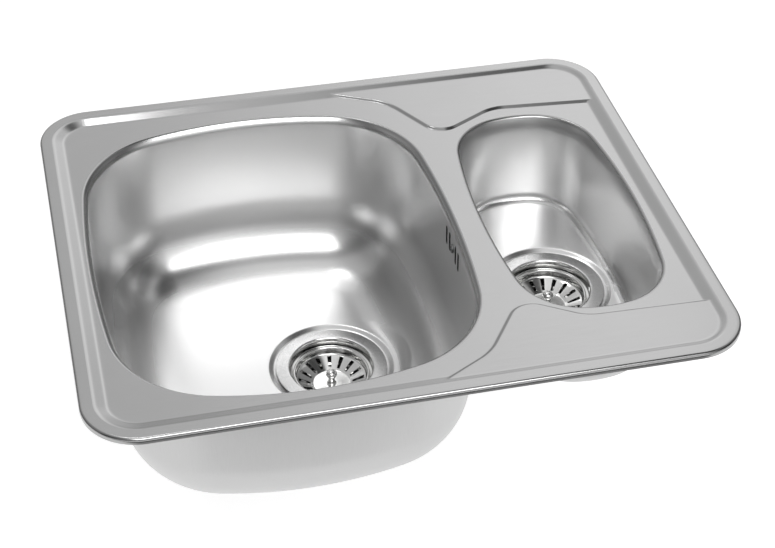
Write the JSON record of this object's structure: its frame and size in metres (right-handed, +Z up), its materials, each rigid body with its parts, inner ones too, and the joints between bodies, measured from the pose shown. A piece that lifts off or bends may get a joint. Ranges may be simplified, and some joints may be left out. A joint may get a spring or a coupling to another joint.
{
  "type": "inset kitchen sink",
  "caption": "Stainless inset kitchen sink with a large bowl, a small rinsing bowl, basket strainer wastes, an overflow and folding worktop clamps.",
  "frame": {"origin": "middle of the rim's outline, on the plane where the rim rests on the worktop", "axes": "+X to the right towards the small bowl, +Y to the back towards the tap ledge, +Z up"},
  "size_m": [0.6, 0.5, 0.253],
  "materials": {
    "brushed_steel": "satin",
    "polished_steel": "polished",
    "zinc_steel": "zinc plated",
    "brass": "turned",
    "black_rubber": "matte",
    "grey_foam": "matte foam",
    "dark_pad": "matte",
    "grey_plastic": "moulded"
  },
  "bodies": {
    "sink_body": {"deck": "brushed_steel", "rim_seal": "grey_foam", "main_bowl": "brushed_steel", "half_bowl": "brushed_steel", "main_sound_pad": "dark_pad", "half_sound_pad": "dark_pad", "overflow_gasket": "black_rubber", "overflow_housing": "grey_plastic", "overflow_screw": "polished_steel", "clamp_brackets": "zinc_steel", "clamp_pins": "zinc_steel", "main_flange_gasket": "black_rubber", "main_strainer_cup": "polished_steel", "main_lower_gasket": "black_rubber", "main_waste_body": "grey_plastic", "main_centre_bolt": "polished_steel", "main_insert_nut": "brass", "half_flange_gasket": "black_rubber", "half_strainer_cup": "polished_steel", "half_lower_gasket": "black_rubber", "half_waste_body": "grey_plastic", "half_centre_bolt": "polished_steel", "half_insert_nut": "brass"},
    "main_strainer_basket": {"main_basket": "polished_steel", "main_basket_stem": "polished_steel", "main_basket_plug": "black_rubber"},
    "half_strainer_basket": {"half_basket": "polished_steel", "half_basket_stem": "polished_steel", "half_basket_plug": "black_rubber"},
    "clamp_arm_body_front_left": {"clamp_arm_front_left": "zinc_steel"},
    "clamp_screw_body_front_left": {"clamp_screw_front_left": "zinc_steel"},
    "clamp_arm_body_front_middle": {"clamp_arm_front_middle": "zinc_steel"},
    "clamp_screw_body_front_middle": {"clamp_screw_front_middle": "zinc_steel"},
    "clamp_arm_body_front_right": {"clamp_arm_front_right": "zinc_steel"},
    "clamp_screw_body_front_right": {"clamp_screw_front_right": "zinc_steel"},
    "clamp_arm_body_back_left": {"clamp_arm_back_left": "zinc_steel"},
    "clamp_screw_body_back_left": {"clamp_screw_back_left": "zinc_steel"},
    "clamp_arm_body_back_middle": {"clamp_arm_back_middle": "zinc_steel"},
    "clamp_screw_body_back_middle": {"clamp_screw_back_middle": "zinc_steel"},
    "clamp_arm_body_back_right": {"clamp_arm_back_right": "zinc_steel"},
    "clamp_screw_body_back_right": {"clamp_screw_back_right": "zinc_steel"}
  },
  "joints": [
    {"name": "main_basket_lift", "type": "slide", "parent": "sink_body", "child": "main_strainer_basket", "axis": [0, 0, 1], "range_m": [0, 0.25]},
    {"name": "half_basket_lift", "type": "slide", "parent": "sink_body", "child": "half_strainer_basket", "axis": [0, 0, 1], "range_m": [0, 0.18]},
    {"name": "clamp_fold_front_left", "type": "hinge", "parent": "sink_body", "child": "clamp_arm_body_front_left", "pos_m": [-0.256, -0.215, -0.0058], "axis": [-1, 0, 0], "range_deg": [0, 90]},
    {"name": "clamp_screw_travel_front_left", "type": "slide", "parent": "clamp_arm_body_front_left", "child": "clamp_screw_body_front_left", "axis": [0, -1, 0], "range_m": [-0.0055, 0.0045]},
    {"name": "clamp_fold_front_middle", "type": "hinge", "parent": "sink_body", "child": "clamp_arm_body_front_middle", "pos_m": [0.09588, -0.215, -0.0058], "axis": [-1, 0, 0], "range_deg": [0, 90]},
    {"name": "clamp_screw_travel_front_middle", "type": "slide", "parent": "clamp_arm_body_front_middle", "child": "clamp_screw_body_front_middle", "axis": [0, -1, 0], "range_m": [-0.0055, 0.0045]},
    {"name": "clamp_fold_front_right", "type": "hinge", "parent": "sink_body", "child": "clamp_arm_body_front_right", "pos_m": [0.24, -0.215, -0.0058], "axis": [-1, 0, 0], "range_deg": [0, 90]},
    {"name": "clamp_screw_travel_front_right", "type": "slide", "parent": "clamp_arm_body_front_right", "child": "clamp_screw_body_front_right", "axis": [0, -1, 0], "range_m": [-0.0055, 0.0045]},
    {"name": "clamp_fold_back_left", "type": "hinge", "parent": "sink_body", "child": "clamp_arm_body_back_left", "pos_m": [-0.256, 0.215, -0.0058], "axis": [1, 0, 0], "range_deg": [0, 90]},
    {"name": "clamp_screw_travel_back_left", "type": "slide", "parent": "clamp_arm_body_back_left", "child": "clamp_screw_body_back_left", "axis": [0, 1, 0], "range_m": [-0.0055, 0.0045]},
    {"name": "clamp_fold_back_middle", "type": "hinge", "parent": "sink_body", "child": "clamp_arm_body_back_middle", "pos_m": [0.09588, 0.215, -0.0058], "axis": [1, 0, 0], "range_deg": [0, 90]},
    {"name": "clamp_screw_travel_back_middle", "type": "slide", "parent": "clamp_arm_body_back_middle", "child": "clamp_screw_body_back_middle", "axis": [0, 1, 0], "range_m": [-0.0055, 0.0045]},
    {"name": "clamp_fold_back_right", "type": "hinge", "parent": "sink_body", "child": "clamp_arm_body_back_right", "pos_m": [0.24, 0.215, -0.0058], "axis": [1, 0, 0], "range_deg": [0, 90]},
    {"name": "clamp_screw_travel_back_right", "type": "slide", "parent": "clamp_arm_body_back_right", "child": "clamp_screw_body_back_right", "axis": [0, 1, 0], "range_m": [-0.0055, 0.0045]}
  ]
}
